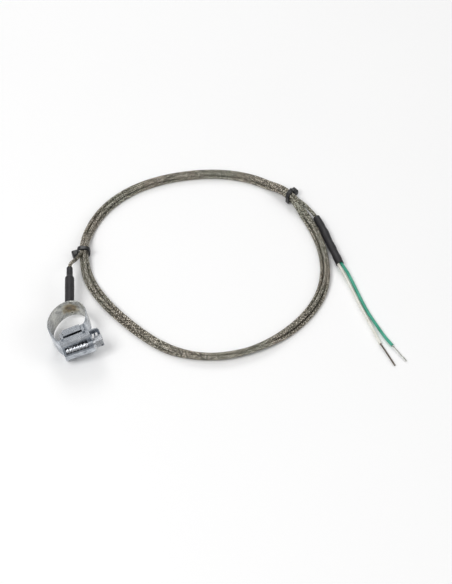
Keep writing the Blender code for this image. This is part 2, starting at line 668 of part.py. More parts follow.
def cable_tie(name, turn, parent):
    """Strap, head and cut end of one tie round the coil."""
    ahead = Vector((-math.sin(turn), math.cos(turn), 0))

    def build(bm):
        slant = TIE_SLANT[name]
        inner, outer = ([coil_point(turn, s, h) + ahead * (s * slant) for s, h in coil_section(turn, margin)]
                        for margin in (GAP, GAP + TIE_THICKNESS))
        half = ahead * TIE_WIDTH / 2
        count = len(inner)
        loops = [[bm.verts.new(p + side) for p in ring] for ring in (inner, outer) for side in (-half, half)]
        order = (loops[0], loops[1], loops[3], loops[2])
        for a, b in zip(order, order[1:] + order[:1]):
            for i in range(count):
                j = (i + 1) % count
                bm.faces.new((a[i], a[j], b[j], b[i]))
    tie = add_object(name, mesh_from(build, name), "tie_black", parent)
    face = TIED_WIDTH / 2 + GAP + TIE_THICKNESS * 0.4
    root = coil_point(turn, face, TIE_HEAD_RISE[name]) + ahead * (face * TIE_SLANT[name])
    out = Vector((math.cos(turn + TIE_HEAD_SWING[name]), math.sin(turn + TIE_HEAD_SWING[name]), 0))
    middle = root + out * TIE_HEAD.x / 2
    across = Vector((-out.y, out.x, 0))
    combine(tie, block_mesh(name + "_head", middle, out, across, TIE_HEAD), "UNION", "head")
    end_size = Vector((TIE_THICKNESS, TIE_WIDTH, TIE_END))
    end_middle = middle + Vector((0, 0, (TIE_HEAD.z + TIE_END) / 2 - 0.2 * MM))
    combine(tie, block_mesh(name + "_end", end_middle, out, across, end_size), "UNION", "cut_end")
    return tie


def block_mesh(name, middle, out, ahead, size):
    """A block turned to a direction outwards and one along the coil."""
    def build(bm):
        rings = []
        for z in (-size.z / 2, size.z / 2):
            corners = ((-1, -1), (1, -1), (1, 1), (-1, 1))
            rings.append([middle + out * (a * size.x / 2) + ahead * (b * size.y / 2) + Vector((0, 0, z))
                          for a, b in corners])
        skin_rings(bm, rings)
    return mesh_from(build, name)


def tube_along(name, points, outer, inner, finish, parent, segments=16):
    """A tube with open ends that follows a route."""
    route = smooth_route(points, outer * 2)

    def build(bm):
        rims = []
        for i, place in enumerate(route):
            along = (route[min(i + 1, len(route) - 1)] - route[max(i - 1, 0)]).normalized()
            side = along.cross(Vector((0, 0, 1))).normalized()
            up = side.cross(along)
            turns = [math.tau * k / segments for k in range(segments)]
            rims.append([[bm.verts.new(place + (side * math.cos(t) + up * math.sin(t)) * r) for t in turns]
                         for r in (outer, inner)])
        for k in range(segments):
            n = (k + 1) % segments
            for (a_out, a_in), (b_out, b_in) in zip(rims, rims[1:]):
                bm.faces.new((a_out[k], a_out[n], b_out[n], b_out[k]))
                bm.faces.new((a_in[k], b_in[k], b_in[n], a_in[n]))
            for outside, inside in (rims[0], rims[-1]):
                bm.faces.new((outside[k], inside[k], inside[n], outside[n]))
    return add_object(name, mesh_from(build, name, math.radians(40)), finish, parent)


def lowest_and_middle(objects):
    """The lowest height of some pieces and the middle of their footprint."""
    bpy.context.view_layer.update()
    graph = bpy.context.evaluated_depsgraph_get()
    places = []
    for obj in objects:
        shape = obj.evaluated_get(graph)
        mesh = shape.to_mesh()
        places += [shape.matrix_world @ v.co for v in mesh.vertices]
        shape.to_mesh_clear()
    low = [min(p[i] for p in places) for i in range(3)]
    high = [max(p[i] for p in places) for i in range(3)]
    return low[2], Vector(((low[0] + high[0]) / 2, (low[1] + high[1]) / 2, 0))


def build_clip(clip):
    band_loop(clip)
    band_free_end(clip)
    saddle_plate(clip)
    screw_housing(clip)
    worm_screw(clip)
    sensor(clip)


def build_lead(root):
    cable("lead_in", LEAD_IN, LEAD_RADIUS, "braid", root)
    cable_coil(root)
    for name, turn in TIE_ANGLES.items():
        cable_tie(name, turn, root)
    cable("lead_out", LEAD_OUT, LEAD_RADIUS, "braid", root)
    tube_along("tail_sleeve", TAIL_SLEEVE, TAIL_SLEEVE_RADIUS, TAIL_SLEEVE_RADIUS - TAIL_SLEEVE_WALL,
               "shrink_black", root)
    tube_along("braid_ferrule", FERRULE, FERRULE_RADIUS, LEAD_RADIUS + RUN, "stainless", root)
    cable("positive_lead", GREEN, CORE_RADIUS, "green", root)
    cable("negative_lead", WHITE, CORE_RADIUS, "white", root)
    cable("positive_conductor", GREEN_END, CONDUCTOR_RADIUS, "nickel_alloy", root)
    cable("negative_conductor", WHITE_END, CONDUCTOR_RADIUS, "nickel_alloy", root)


def main():
    for obj in list(bpy.data.objects):
        bpy.data.objects.remove(obj)
    root = add_empty("thermocouple")
    clip = add_empty("clip")
    clip.parent = root
    clip.rotation_euler = (0, -LEAN, 0)
    build_clip(clip)
    pieces = [obj for obj in clip.children if obj.type == "MESH" and not obj.hide_render]
    lowest, _ = lowest_and_middle(pieces)
    clip.location.z = -lowest
    _, middle = lowest_and_middle(pieces)
    root.location = -middle
    build_lead(root)


main()
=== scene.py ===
import math
import bpy
import bmesh
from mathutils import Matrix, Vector


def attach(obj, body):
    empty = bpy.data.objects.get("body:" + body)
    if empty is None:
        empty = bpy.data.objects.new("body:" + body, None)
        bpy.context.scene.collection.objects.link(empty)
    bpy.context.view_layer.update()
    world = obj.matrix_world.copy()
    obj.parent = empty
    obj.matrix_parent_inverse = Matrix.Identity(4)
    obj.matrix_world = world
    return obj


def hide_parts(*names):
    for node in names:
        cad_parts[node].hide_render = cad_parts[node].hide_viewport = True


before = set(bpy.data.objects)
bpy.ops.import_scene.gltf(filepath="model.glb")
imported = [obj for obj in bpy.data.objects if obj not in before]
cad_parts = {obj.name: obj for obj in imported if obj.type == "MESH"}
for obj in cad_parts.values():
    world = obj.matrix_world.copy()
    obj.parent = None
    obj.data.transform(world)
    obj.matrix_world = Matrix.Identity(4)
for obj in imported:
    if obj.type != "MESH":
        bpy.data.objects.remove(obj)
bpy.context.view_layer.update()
mm = 0.001


def routePoint(x, y, z):
    # the routes are laid out about the loop's centre; the frame's origin is under the clip's middle
    return Vector((x - 0.095, y - 9.064, z)) * mm


cameraSettings = {
    "target": routePoint(92.9, 0.6, 0.0),
    "azimuth": -20.0,
    "elevation": 50.5,
    "distance": 0.928,
    "sensor": 36.0,
    "lens": 98.6301,  # mm, on the longer side of the sensor
    "clip": (0.01, 20.0),
}


def addCamera(s):
    a, e = math.radians(s["azimuth"]), math.radians(s["elevation"])
    back = Vector((math.sin(a) * math.cos(e), -math.cos(a) * math.cos(e), math.sin(e)))
    data = bpy.data.cameras.new("productCamera")
    data.sensor_width = s["sensor"]
    data.lens = s["lens"]
    data.clip_start, data.clip_end = s["clip"]
    camera = bpy.data.objects.new("productCamera", data)
    camera.location = s["target"] + back * s["distance"]
    camera.rotation_euler = back.to_track_quat("Z", "Y").to_euler()
    bpy.context.collection.objects.link(camera)
    bpy.context.scene.camera = camera


addCamera(cameraSettings)
print("camera placed")


class NodeSheet:
    # a short way to lay out a material's nodes
    def __init__(self, name):
        self.material = bpy.data.materials.new(name)
        self.material.use_nodes = True
        self.tree = self.material.node_tree
        self.shader = self.tree.nodes["Principled BSDF"]

    def add(self, kind, **values):
        node = self.tree.nodes.new(kind)
        for key, value in values.items():
            setattr(node, key, value)
        return node

    def link(self, source, target):
        self.tree.links.new(source, target)

    def feed(self, node, socket, value):
        target = node.inputs[socket]
        if isinstance(value, bpy.types.NodeSocket):
            self.link(value, target)
        else:
            target.default_value = value

    def math(self, operation, a, b=0.0):
        node = self.add("ShaderNodeMath", operation=operation)
        for i, value in enumerate((a, b)):
            self.feed(node, i, value)
        return node.outputs[0]

    def noise(self, scale, detail=4.0, rough=0.5, vector=None):
        node = self.add("ShaderNodeTexNoise")
        node.inputs["Scale"].default_value = scale
        node.inputs["Detail"].default_value = detail
        node.inputs["Roughness"].default_value = rough
        self.link(vector or self.place(), node.inputs["Vector"])
        return node.outputs["Fac"]

    def place(self):
        return self.add("ShaderNodeTexCoord").outputs["Object"]

    def stretched(self, scale, rotation=(0, 0, 0)):
        node = self.add("ShaderNodeMapping")
        node.inputs["Scale"].default_value = scale
        node.inputs["Rotation"].default_value = rotation
        self.link(self.place(), node.inputs["Vector"])
        return node.outputs["Vector"]

    def ramp(self, factor, stops):
        node = self.add("ShaderNodeValToRGB")
        points = node.color_ramp.elements
        while len(points) < len(stops):
            points.new(0.5)
        for point, (at, colour) in zip(points, stops):
            point.position = at
            point.color = (*colour, 1.0)
        self.link(factor, node.inputs["Fac"])
        return node.outputs["Color"]

    def span(self, value, low, high, newLow, newHigh):
        node = self.add("ShaderNodeMapRange")
        for key, number in (("From Min", low), ("From Max", high),
                            ("To Min", newLow), ("To Max", newHigh)):
            node.inputs[key].default_value = number
        self.link(value, node.inputs["Value"])
        return node.outputs["Result"]

    def mix(self, factor, a, b, blend="MIX"):
        node = self.add("ShaderNodeMix", data_type="RGBA", blend_type=blend)
        self.feed(node, 0, factor)
        for socket, value in ((6, a), (7, b)):
            self.feed(node, socket, (*value, 1.0) if isinstance(value, tuple) else value)
        return node.outputs[2]

    def near(self, centre, radius):
        # 1 at a place on the object, falling to 0 at a radius from it
        away = self.add("ShaderNodeVectorMath", operation="DISTANCE")
        self.link(self.place(), away.inputs[0])
        away.inputs[1].default_value = centre
        return self.span(away.outputs["Value"], 0.0, radius, 1.0, 0.0)

    def bump(self, height, depth, strength=1.0, under=None):
        node = self.add("ShaderNodeBump")
        node.inputs["Distance"].default_value = depth
        node.inputs["Strength"].default_value = strength
        self.link(height, node.inputs["Height"])
        if under:
            self.link(under, node.inputs["Normal"])
        return node.outputs["Normal"]

    def finish(self, colour, roughness, metallic, normal=None, **more):
        self.feed(self.shader, "Base Color", (*colour, 1.0) if isinstance(colour, tuple) else colour)
        self.feed(self.shader, "Roughness", roughness)
        self.shader.inputs["Metallic"].default_value = metallic
        for socket, value in more.items():
            self.shader.inputs[socket.replace("_", " ")].default_value = value
        if normal:
            self.link(normal, self.shader.inputs["Normal"])
        return self.material


def zincPlate(name, heated=None, stain=None, warmEdge=None):
    # bright zinc on rolled strip: faint rolling lines, cloudy passivation, small nicks;
    # warmEdge is the heights along the object's Y between which it turns from cool to warm
    s = NodeSheet(name)
    cloud = s.noise(260.0, 5.0, 0.6)
    speck = s.noise(2600.0, 3.0, 0.7)
    rolled = s.noise(900.0, 2.0, 0.5, s.stretched((0.08, 1.0, 1.0)))
    colour = s.ramp(cloud, ((0.30, (0.27, 0.29, 0.32)), (0.52, (0.50, 0.53, 0.57)),
                            (0.72, (0.76, 0.79, 0.83))))
    if warmEdge:
        depth = s.add("ShaderNodeSeparateXYZ")
        s.link(s.place(), depth.inputs[0])
        warmth = s.span(depth.outputs["Y"], *warmEdge, 0.0, 1.0)
        colour = s.mix(warmth, colour, s.mix(1.0, colour, (1.0, 0.95, 0.84), "MULTIPLY"))
    nicks = s.ramp(speck, ((0.30, (0.35, 0.36, 0.38)), (0.40, (1.0, 1.0, 1.0))))
    colour = s.mix(0.55, colour, nicks, "MULTIPLY")
    roughness = s.span(cloud, 0.3, 0.7, 0.34, 0.16)
    if heated:
        edge = s.math("ADD", s.near(*heated), s.span(s.noise(420.0, 3.0), 0.3, 0.7, -0.16, 0.16))
        tint = s.ramp(edge, ((0.10, (1.0, 1.0, 1.0)), (0.38, (0.86, 0.80, 0.68)),
                             (0.62, (0.50, 0.38, 0.22)), (0.92, (0.30, 0.24, 0.19))))
        colour = s.mix(0.9, colour, tint, "MULTIPLY")
    if stain:
        pit = s.ramp(s.near(*stain), ((0.25, (1.0, 1.0, 1.0)), (0.6, (0.10, 0.08, 0.06))))
        colour = s.mix(0.9, colour, pit, "MULTIPLY")
    normal = s.bump(rolled, 0.00002, 0.25)
    normal = s.bump(cloud, 0.00012, 0.30, normal)
    return s.finish(colour, roughness, 1.0, normal)


def turnedSteel():
    s = NodeSheet("turnedSteel")
    cloud = s.noise(500.0, 4.0, 0.6)
    alongScrew = (0, math.radians(-9), math.radians(-3.5))
    lines = s.noise(3000.0, 1.0, 0.4, s.stretched((1.0, 0.03, 0.03), alongScrew))
    colour = s.ramp(cloud, ((0.3, (0.50, 0.52, 0.55)), (0.7, (0.80, 0.82, 0.85))))
    return s.finish(colour, s.span(cloud, 0.3, 0.7, 0.36, 0.2), 1.0, s.bump(lines, 0.00002, 0.3))


def brazedFillet():
    s = NodeSheet("brazedFillet")
    cloud = s.noise(700.0, 5.0, 0.65)
    colour = s.ramp(cloud, ((0.3, (0.20, 0.15, 0.10)), (0.5, (0.50, 0.40, 0.26)),
                            (0.7, (0.68, 0.62, 0.50))))
    return s.finish(colour, s.span(cloud, 0.3, 0.7, 0.6, 0.32), 1.0, s.bump(cloud, 0.0002, 0.6))


def drawnStainless():
    s = NodeSheet("drawnStainless")
    cloud = s.noise(300.0, 3.0)
    fine = s.noise(4000.0, 2.0, 0.5, s.stretched((1.0, 0.05, 1.0), (0, 0, math.radians(17))))
    colour = s.ramp(cloud, ((0.3, (0.48, 0.47, 0.45)), (0.7, (0.66, 0.65, 0.62))))
    return s.finish(colour, 0.33, 1.0, s.bump(fine, 0.00001, 0.3))


def shrinkSleeve():
    # heat-shrink: satin black with the wrinkles and dust of handling
    s = NodeSheet("shrinkSleeve")
    cloud = s.noise(220.0, 4.0, 0.6)
    grain = s.noise(2400.0, 3.0, 0.6)
    colour = s.ramp(cloud, ((0.35, (0.010, 0.0095, 0.011)), (0.65, (0.022, 0.020, 0.022))))
    normal = s.bump(grain, 0.00003, 0.5)
    normal = s.bump(cloud, 0.0006, 0.35, normal)
    return s.finish(colour, s.span(cloud, 0.3, 0.7, 0.42, 0.62), 0.0, normal)


def mouldedNylon():
    s = NodeSheet("mouldedNylon")
    cloud = s.noise(400.0, 3.0)
    grain = s.noise(3500.0, 2.0)
    colour = s.ramp(cloud, ((0.3, (0.005, 0.005, 0.0055)), (0.7, (0.014, 0.014, 0.015))))
    return s.finish(colour, s.span(cloud, 0.3, 0.7, 0.28, 0.42), 0.0, s.bump(grain, 0.00002, 0.5))


def smoothSleeving(name, dark, light, streak):
    # thin-walled fluoropolymer sleeving over a stranded core
    s = NodeSheet(name)
    cloud = s.noise(160.0, 4.0, 0.6)
    fine = s.noise(1500.0, 3.0, 0.5)
    colour = s.ramp(cloud, ((0.32, dark), (0.68, light)))
    marks = s.ramp(fine, ((0.34, streak), (0.44, (1.0, 1.0, 1.0))))
    colour = s.mix(0.35, colour, marks, "MULTIPLY")
    normal = s.bump(cloud, 0.0005, 0.25)
    return s.finish(colour, s.span(fine, 0.3, 0.7, 0.26, 0.4), 0.0, normal,
                    Coat_Weight=0.3, Coat_Roughness=0.15)


def pottingCement():
    s = NodeSheet("pottingCement")
    grain = s.noise(3000.0, 5.0, 0.7)
    colour = s.ramp(grain, ((0.3, (0.62, 0.60, 0.54)), (0.7, (0.84, 0.82, 0.77))))
    return s.finish(colour, 0.9, 0.0, s.bump(grain, 0.0001, 0.6))


def glassFibre():
    s = NodeSheet("glassFibre")
    weave = s.noise(2500.0, 2.0, 0.5, s.stretched((1.0, 0.3, 1.0)))
    colour = s.ramp(weave, ((0.3, (0.58, 0.54, 0.44)), (0.7, (0.86, 0.83, 0.75))))
    return s.finish(colour, 0.8, 0.0, s.bump(weave, 0.0001, 0.6))


def wireAlloy(name, dark, light, roughness):
    s = NodeSheet(name)
    cloud = s.noise(900.0, 4.0, 0.6)
    colour = s.ramp(cloud, ((0.3, dark), (0.7, light)))
    return s.finish(colour, roughness, 1.0, s.bump(cloud, 0.00004, 0.4))


braidSettings = {
    "carriers": 6,  # each way round
    "lay": 10.2 * mm,  # one carrier's full turn
    "wires": 5,  # in a carrier
}


def wovenBraid(s0):
    # two families of flat wire bundles over and under each other, from the cord's own attributes
    s = NodeSheet("wovenBraid")
    around = s.add("ShaderNodeAttribute", attribute_name="roundCord")
    along = s.add("ShaderNodeAttribute", attribute_name="alongCord").outputs["Fac"]
    parts = s.add("ShaderNodeSeparateXYZ")
    s.link(around.outputs["Vector"], parts.inputs[0])
    angle = s.math("ARCTAN2", parts.outputs["Y"], parts.outputs["X"])
    turns = s.math("MULTIPLY", angle, s0["carriers"] / math.tau)
    advance = s.math("MULTIPLY", along, s0["carriers"] / s0["lay"])
    p = s.math("MULTIPLY", s.math("ADD", turns, advance), math.pi)
    q = s.math("MULTIPLY", s.math("SUBTRACT", turns, advance), math.pi)
    sinP, sinQ = s.math("SINE", p), s.math("SINE", q)
    lift = s.math("MULTIPLY", s.math("MULTIPLY", sinQ, s.math("SIGN", sinP)), 0.5)
    drop = s.math("MULTIPLY", s.math("MULTIPLY", sinP, s.math("SIGN", sinQ)), 0.5)
    crownP, crownQ = (s.math("POWER", s.math("ABSOLUTE", wave), 0.5) for wave in (sinP, sinQ))
    overP = s.math("MULTIPLY", crownP, s.math("ADD", lift, 0.5))
    overQ = s.math("MULTIPLY", crownQ, s.math("SUBTRACT", 0.5, drop))
    height = s.math("MAXIMUM", overP, overQ)
    fineP = s.math("SINE", s.math("MULTIPLY", p, 2.0 * s0["wires"]))
    fineQ = s.math("SINE", s.math("MULTIPLY", q, 2.0 * s0["wires"]))
    pIsOver = s.math("GREATER_THAN", overP, overQ)
    fine = s.math("ADD", s.math("MULTIPLY", fineP, pIsOver),
                  s.math("MULTIPLY", fineQ, s.math("SUBTRACT", 1.0, pIsOver)))
    relief = s.math("ADD", height, s.math("MULTIPLY", fine, 0.10))
    patch = s.noise(45.0, 3.0, 0.5)
    dirt = s.noise(600.0, 4.0, 0.6)
    # painted shade and highlight: the colour follows the weave's height, near black in the hollows between
    # bundles and wires and bright on the crowns
    colour = s.ramp(relief, ((0.25, (0.010, 0.009, 0.007)), (0.50, (0.085, 0.080, 0.066)),
                             (0.74, (0.34, 0.325, 0.285)), (0.95, (0.76, 0.74, 0.69))))
    warm = s.ramp(patch, ((0.35, (0.86, 0.90, 0.84)), (0.65, (1.0, 0.93, 0.88))))
    colour = s.mix(0.8, colour, warm, "MULTIPLY")
    grime = s.ramp(dirt, ((0.30, (0.45, 0.43, 0.38)), (0.50, (1.0, 1.0, 1.0))))
    colour = s.mix(0.6, colour, grime, "MULTIPLY")
    # painted glints: random specks brighten the colour to twice its own tone, and others darken it
    paintedGlints = s.ramp(s.noise(1150.0, 1.0, 0.5), ((0.36, (0.16, 0.15, 0.13)),
                                                (0.48, (0.62, 0.60, 0.55)), (0.60, (2.2, 2.15, 2.05))))
    colour = s.mix(0.85, colour, paintedGlints, "MULTIPLY")
    roughness = s.span(relief, 0.3, 0.9, 0.6, 0.3)
    return s.finish(colour, roughness, 0.6, s.bump(relief, 0.0002, 1.0))


brazeHeat = (Vector((2.9, 2.1, 10.5)) * mm, 6.8 * mm)  # place and reach
brazePit = (Vector((3.6, 2.1, 6.3)) * mm, 1.1 * mm)
finishes = {
    "strip": zincPlate("zincStrip", brazeHeat, brazePit, (-0.012, -0.003)),
    "zinc": zincPlate("zincPlate"),
    "screw": turnedSteel(),
    "braze": brazedFillet(),
    "stainless": drawnStainless(),
    "sleeve": shrinkSleeve(),
    "nylon": mouldedNylon(),
    "green": smoothSleeving("greenSleeving", (0.035, 0.30, 0.20), (0.07, 0.42, 0.29), (0.5, 0.7, 0.6)),
    "white": smoothSleeving("whiteSleeving", (0.74, 0.72, 0.65), (0.88, 0.87, 0.81), (0.6, 0.56, 0.46)),
    "cement": pottingCement(),
    "glass": glassFibre(),
    "brightWire": wireAlloy("brightWire", (0.46, 0.47, 0.44), (0.80, 0.80, 0.76), 0.3),
    "dullWire": wireAlloy("dullWire", (0.06, 0.045, 0.035), (0.32, 0.27, 0.22), 0.5),
    "alloy": wireAlloy("elementWire", (0.40, 0.38, 0.34), (0.62, 0.60, 0.56), 0.4),
    "braid": wovenBraid(braidSettings),
}
print("finishes made")


def link(name, mesh, finish=None):
    piece = bpy.data.objects.new(name, mesh)
    bpy.context.collection.objects.link(piece)
    if finish:
        mesh.materials.clear()
        mesh.materials.append(finishes[finish])
    return piece


def smoothRoute(points, spacing):
    knots = [Vector(p) for p in points]
    ends = [2 * knots[0] - knots[1]] + knots + [2 * knots[-1] - knots[-2]]
    route = [knots[0]]
    for a, b, c, d in zip(ends, ends[1:], ends[2:], ends[3:]):
        steps = max(1, round((c - b).length / spacing))
        for i in range(1, steps + 1):
            t = i / steps
            route.append(0.5 * (2 * b + (c - a) * t + (2 * a - 5 * b + 4 * c - d) * t * t
                                + (3 * b - a - 3 * c + d) * t ** 3))
    return route


def routeLength(route):
    return sum((b - a).length for a, b in zip(route, route[1:]))


def evenly(route, spacing):
    # the same line with its points an equal distance apart
    total = routeLength(route)
    count = max(2, round(total / spacing))
    step, out = total / count, [route[0].copy()]
    walked = 0.0
    for a, b in zip(route, route[1:]):
        run = (b - a).length
        while len(out) < count and walked + run >= step * len(out):
            out.append(a.lerp(b, (step * len(out) - walked) / run))
        walked += run
    return out + [route[-1].copy()]


def tubeTree(name, groups):
    # a new node tree with the inputs and output of a round profile swept along a chain of edges
    tree = bpy.data.node_groups.new(name, "GeometryNodeTree")
    tree.interface.new_socket(name="Route", in_out="INPUT", socket_type="NodeSocketGeometry")
    for label, kind, value in groups:
        made = tree.interface.new_socket(name=label, in_out="INPUT", socket_type=kind)
        if value is not None:
            made.default_value = value
    tree.interface.new_socket(name="Tube", in_out="OUTPUT", socket_type="NodeSocketGeometry")
    return tree


def connect(tree, source, output, target, socket):
    tree.links.new(source.outputs[output], target.inputs[socket])


def cordTree():
    tree = tubeTree("sweptCord", (("Radius", "NodeSocketFloat", 0.001), ("Sides", "NodeSocketInt", 16),
                                  ("Finish", "NodeSocketMaterial", None)))
    new = tree.nodes.new
    given, result = new("NodeGroupInput"), new("NodeGroupOutput")
    line = new("GeometryNodeMeshToCurve")
    along = new("GeometryNodeSplineParameter")
    keepAlong = new("GeometryNodeStoreNamedAttribute")
    keepAlong.data_type, keepAlong.domain = "FLOAT", "POINT"
    keepAlong.inputs["Name"].default_value = "alongCord"
    rim = new("GeometryNodeCurvePrimitiveCircle")
    place = new("GeometryNodeInputPosition")
    unit = new("ShaderNodeVectorMath")
    unit.operation = "NORMALIZE"
    keepRound = new("GeometryNodeStoreNamedAttribute")
    keepRound.data_type, keepRound.domain = "FLOAT_VECTOR", "POINT"
    keepRound.inputs["Name"].default_value = "roundCord"
    sweep = new("GeometryNodeCurveToMesh")
    sweep.inputs["Fill Caps"].default_value = True
    smooth = new("GeometryNodeSetShadeSmooth")
    real = new("GeometryNodeRealizeInstances")
    paint = new("GeometryNodeSetMaterial")
    connect(tree, given, "Route", line, "Mesh")
    connect(tree, line, "Curve", keepAlong, "Geometry")
    connect(tree, along, "Length", keepAlong, "Value")
    connect(tree, given, "Radius", rim, "Radius")
    connect(tree, given, "Sides", rim, "Resolution")
    connect(tree, place, "Position", unit, 0)
    connect(tree, rim, "Curve", keepRound, "Geometry")
    connect(tree, unit, "Vector", keepRound, "Value")
    connect(tree, keepAlong, "Geometry", sweep, "Curve")
    connect(tree, keepRound, "Geometry", sweep, "Profile Curve")
    connect(tree, sweep, "Mesh", smooth, "Geometry")
    connect(tree, smooth, "Geometry", real, "Geometry")
    connect(tree, real, "Geometry", paint, "Geometry")
    connect(tree, given, "Finish", paint, "Material")
    connect(tree, paint, "Geometry", result, "Tube")
    return tree


def strandedTree():
    # a core strand and a ring of strands about it, twisted along the route
    tree = tubeTree("twistedStrands", (("Strand Radius", "NodeSocketFloat", 0.00015),
                                       ("Strands", "NodeSocketInt", 6),
                                       ("Twist", "NodeSocketFloat", 600.0),
                                       ("Finish", "NodeSocketMaterial", None)))
    new = tree.nodes.new
    given, result = new("NodeGroupInput"), new("NodeGroupOutput")
    line = new("GeometryNodeMeshToCurve")
    along = new("GeometryNodeSplineParameter")
    turn = new("ShaderNodeMath")
    turn.operation = "MULTIPLY"
    tilt = new("GeometryNodeSetCurveTilt")
    strand = new("GeometryNodeCurvePrimitiveCircle")
    strand.inputs["Resolution"].default_value = 10
    double = new("ShaderNodeMath")
    double.operation = "MULTIPLY"
    double.inputs[1].default_value = 2.0
    ring = new("GeometryNodeMeshCircle")
    spread = new("GeometryNodeInstanceOnPoints")
    both = new("GeometryNodeJoinGeometry")
    made = new("GeometryNodeRealizeInstances")
    sweep = new("GeometryNodeCurveToMesh")
    sweep.inputs["Fill Caps"].default_value = True
    smooth = new("GeometryNodeSetShadeSmooth")
    real = new("GeometryNodeRealizeInstances")
    paint = new("GeometryNodeSetMaterial")
    connect(tree, given, "Route", line, "Mesh")
    connect(tree, line, "Curve", tilt, "Curve")
    connect(tree, along, "Length", turn, 0)
    connect(tree, given, "Twist", turn, 1)
    connect(tree, turn, 0, tilt, "Tilt")
    connect(tree, given, "Strand Radius", strand, "Radius")
    connect(tree, given, "Strand Radius", double, 0)
    connect(tree, given, "Strands", ring, "Vertices")
    connect(tree, double, 0, ring, "Radius")
    connect(tree, ring, "Mesh", spread, "Points")
    connect(tree, strand, "Curve", spread, "Instance")
    connect(tree, spread, "Instances", both, "Geometry")
    connect(tree, strand, "Curve", both, "Geometry")
    connect(tree, both, "Geometry", made, "Geometry")
    connect(tree, tilt, "Curve", sweep, "Curve")
    connect(tree, made, "Geometry", sweep, "Profile Curve")
    connect(tree, sweep, "Mesh", smooth, "Geometry")
    connect(tree, smooth, "Geometry", real, "Geometry")
    connect(tree, real, "Geometry", paint, "Geometry")
    connect(tree, given, "Finish", paint, "Material")
    connect(tree, paint, "Geometry", result, "Tube")
    return tree


trees = {"cord": cordTree(), "strands": strandedTree()}


def grow(name, route, treeName, **values):
    # runs a tree on a chain of edges and keeps the result as a plain mesh
    chain = bpy.data.meshes.new(name + "Route")
    chain.from_pydata([tuple(p) for p in route], [(i, i + 1) for i in range(len(route) - 1)], [])
    guide = link(name + "Guide", chain)
    modifier = guide.modifiers.new("tree", "NODES")
    modifier.node_group = trees[treeName]
    sockets = {item.name: item.identifier for item in trees[treeName].interface.items_tree
               if item.item_type == "SOCKET" and item.in_out == "INPUT"}
    for label, value in values.items():
        modifier[sockets[label.replace("_", " ")]] = value
    bpy.context.view_layer.update()
    graph = bpy.context.evaluated_depsgraph_get()
    mesh = bpy.data.meshes.new_from_object(guide.evaluated_get(graph), depsgraph=graph)
    bpy.data.objects.remove(guide)
    mesh.name = name
    outwards(mesh)
    return link(name, mesh)


def outwards(mesh):
    bm = bmesh.new()
    bm.from_mesh(mesh)
    bmesh.ops.recalc_face_normals(bm, faces=bm.faces)
    bm.to_mesh(mesh)
    bm.free()


coil = {
    "centre": Vector((90.0, 27.0, 0.0)),
    "radius": 70.25,
    "waves": ((1, 0.3, 0), (2, 2.2, -66), (3, 1.8, 25), (4, 0.9, -33), (5, 0.6, 34)),
    "ties": (157.0, 24.0),
    "tieLift": 1.3,
    "tieSpread": 16.0,
    "tieNear": 2.45,
    "turns": 4.3728,
}
lead = {
    "radius": 1.05,
    "start": ((10.99, 39.76, 11.38), (11.9, 42.1, 11.05), (13.3, 44.1, 10.1), (15.0, 46.1, 8.7),
              (16.5, 47.9, 7.2)),
    # how the first strand comes up to the left tie: distance before it, outwards, height
    "approach": ((5.2, 3.0, 4.9), (2.6, 1.7, 4.5), (0.0, 1.05, 4.35)),
    # the strands' wander in their slots: size, waves in a turn, phase
    "drift": ((0.16, 13.0, 1.0), (0.10, 29.0, 0.0)),
    "ends": ((160.12, 46.71, 2.95), (161.35, 42.9, 2.6), (162.45, 38.9, 2.45), (163.03, 34.75, 2.45),
             (163.25, 29.5, 2.45), (163.35, 25.2, 2.45)),
    "sides": 16,
    "spacing": 0.55,
}
# where a strand lies in the bundle: outwards from the coil's middle line, and up from its lowest strand
slots = {"A": (-2.15, 0.0), "B": (0.0, 0.0), "C": (2.15, 0.0),
         "D": (-1.08, 1.85), "E": (1.08, 1.85), "T": (0.0, 2.1)}
# and where the ties draw the bundle together
tiedSlots = {"A": (-1.55, 1.4), "B": (0.0, 0.0), "C": (1.55, 1.4),
             "D": (-1.05, 3.3), "E": (1.05, 3.3), "T": (0.0, 3.5)}
# each strand's moves from slot to slot, as shares of its turn
moves = (
    ((0.0, "E"), (0.485, "E"), (0.56, "C"), (0.62, "C"), (0.70, "E"), (0.94, "E"), (1.02, "D")),
    ((0.02, "D"), (0.38, "D"), (0.48, "T"), (0.66, "T"), (0.74, "D"), (0.88, "D"),
     (0.96, "A"), (1.0, "A")),
    ((0.0, "A"), (0.80, "A"), (0.88, "B"), (1.0, "B")),
    ((0.0, "B"), (0.72, "B"), (0.80, "C"), (1.0, "C")),
    ((0.0, "C"), (1.0, "C")),
)


def coilRadius(turn):
    return coil["radius"] + sum(size * math.cos(count * (turn - math.radians(phase)))
                                for count, size, phase in coil["waves"])


def tiePull(turn):
    # 1 where a tie draws the bundle together, 0 away from both
    pull = 0.0
    spread = math.radians(coil["tieSpread"])
    for tie in coil["ties"]:
        away = abs((turn - math.radians(tie) + math.pi) % math.tau - math.pi) / spread
        near = math.radians(coil["tieNear"]) / spread
        part = min(1.0, max(0.0, (away - near) / (1 - near)))
        pull = max(pull, (1 + math.cos(math.pi * part)) / 2)
    return pull


def slotPlace(slot, pull):
    return Vector(slots[slot]).lerp(Vector(tiedSlots[slot]), pull)


def slotAt(wound, pull):
    strand = min(int(wound), len(moves) - 1)
    share = wound - strand
    if strand and share < 0.02:
        share, strand = share + 1.0, strand - 1
    steps = moves[strand]
    for (a, slotA), (b, slotB) in zip(steps, steps[1:]):
        if a <= share <= b:
            t = (share - a) / (b - a)
            t = t * t * (3 - 2 * t)
            start, stop = slotPlace(slotA, pull), slotPlace(slotB, pull)
            hump = math.sin(math.pi * t) * 0.5 if slotA != slotB else 0.0
            return start.lerp(stop, t) + Vector((0.0, hump))
    return slotPlace(steps[-1][1], pull)


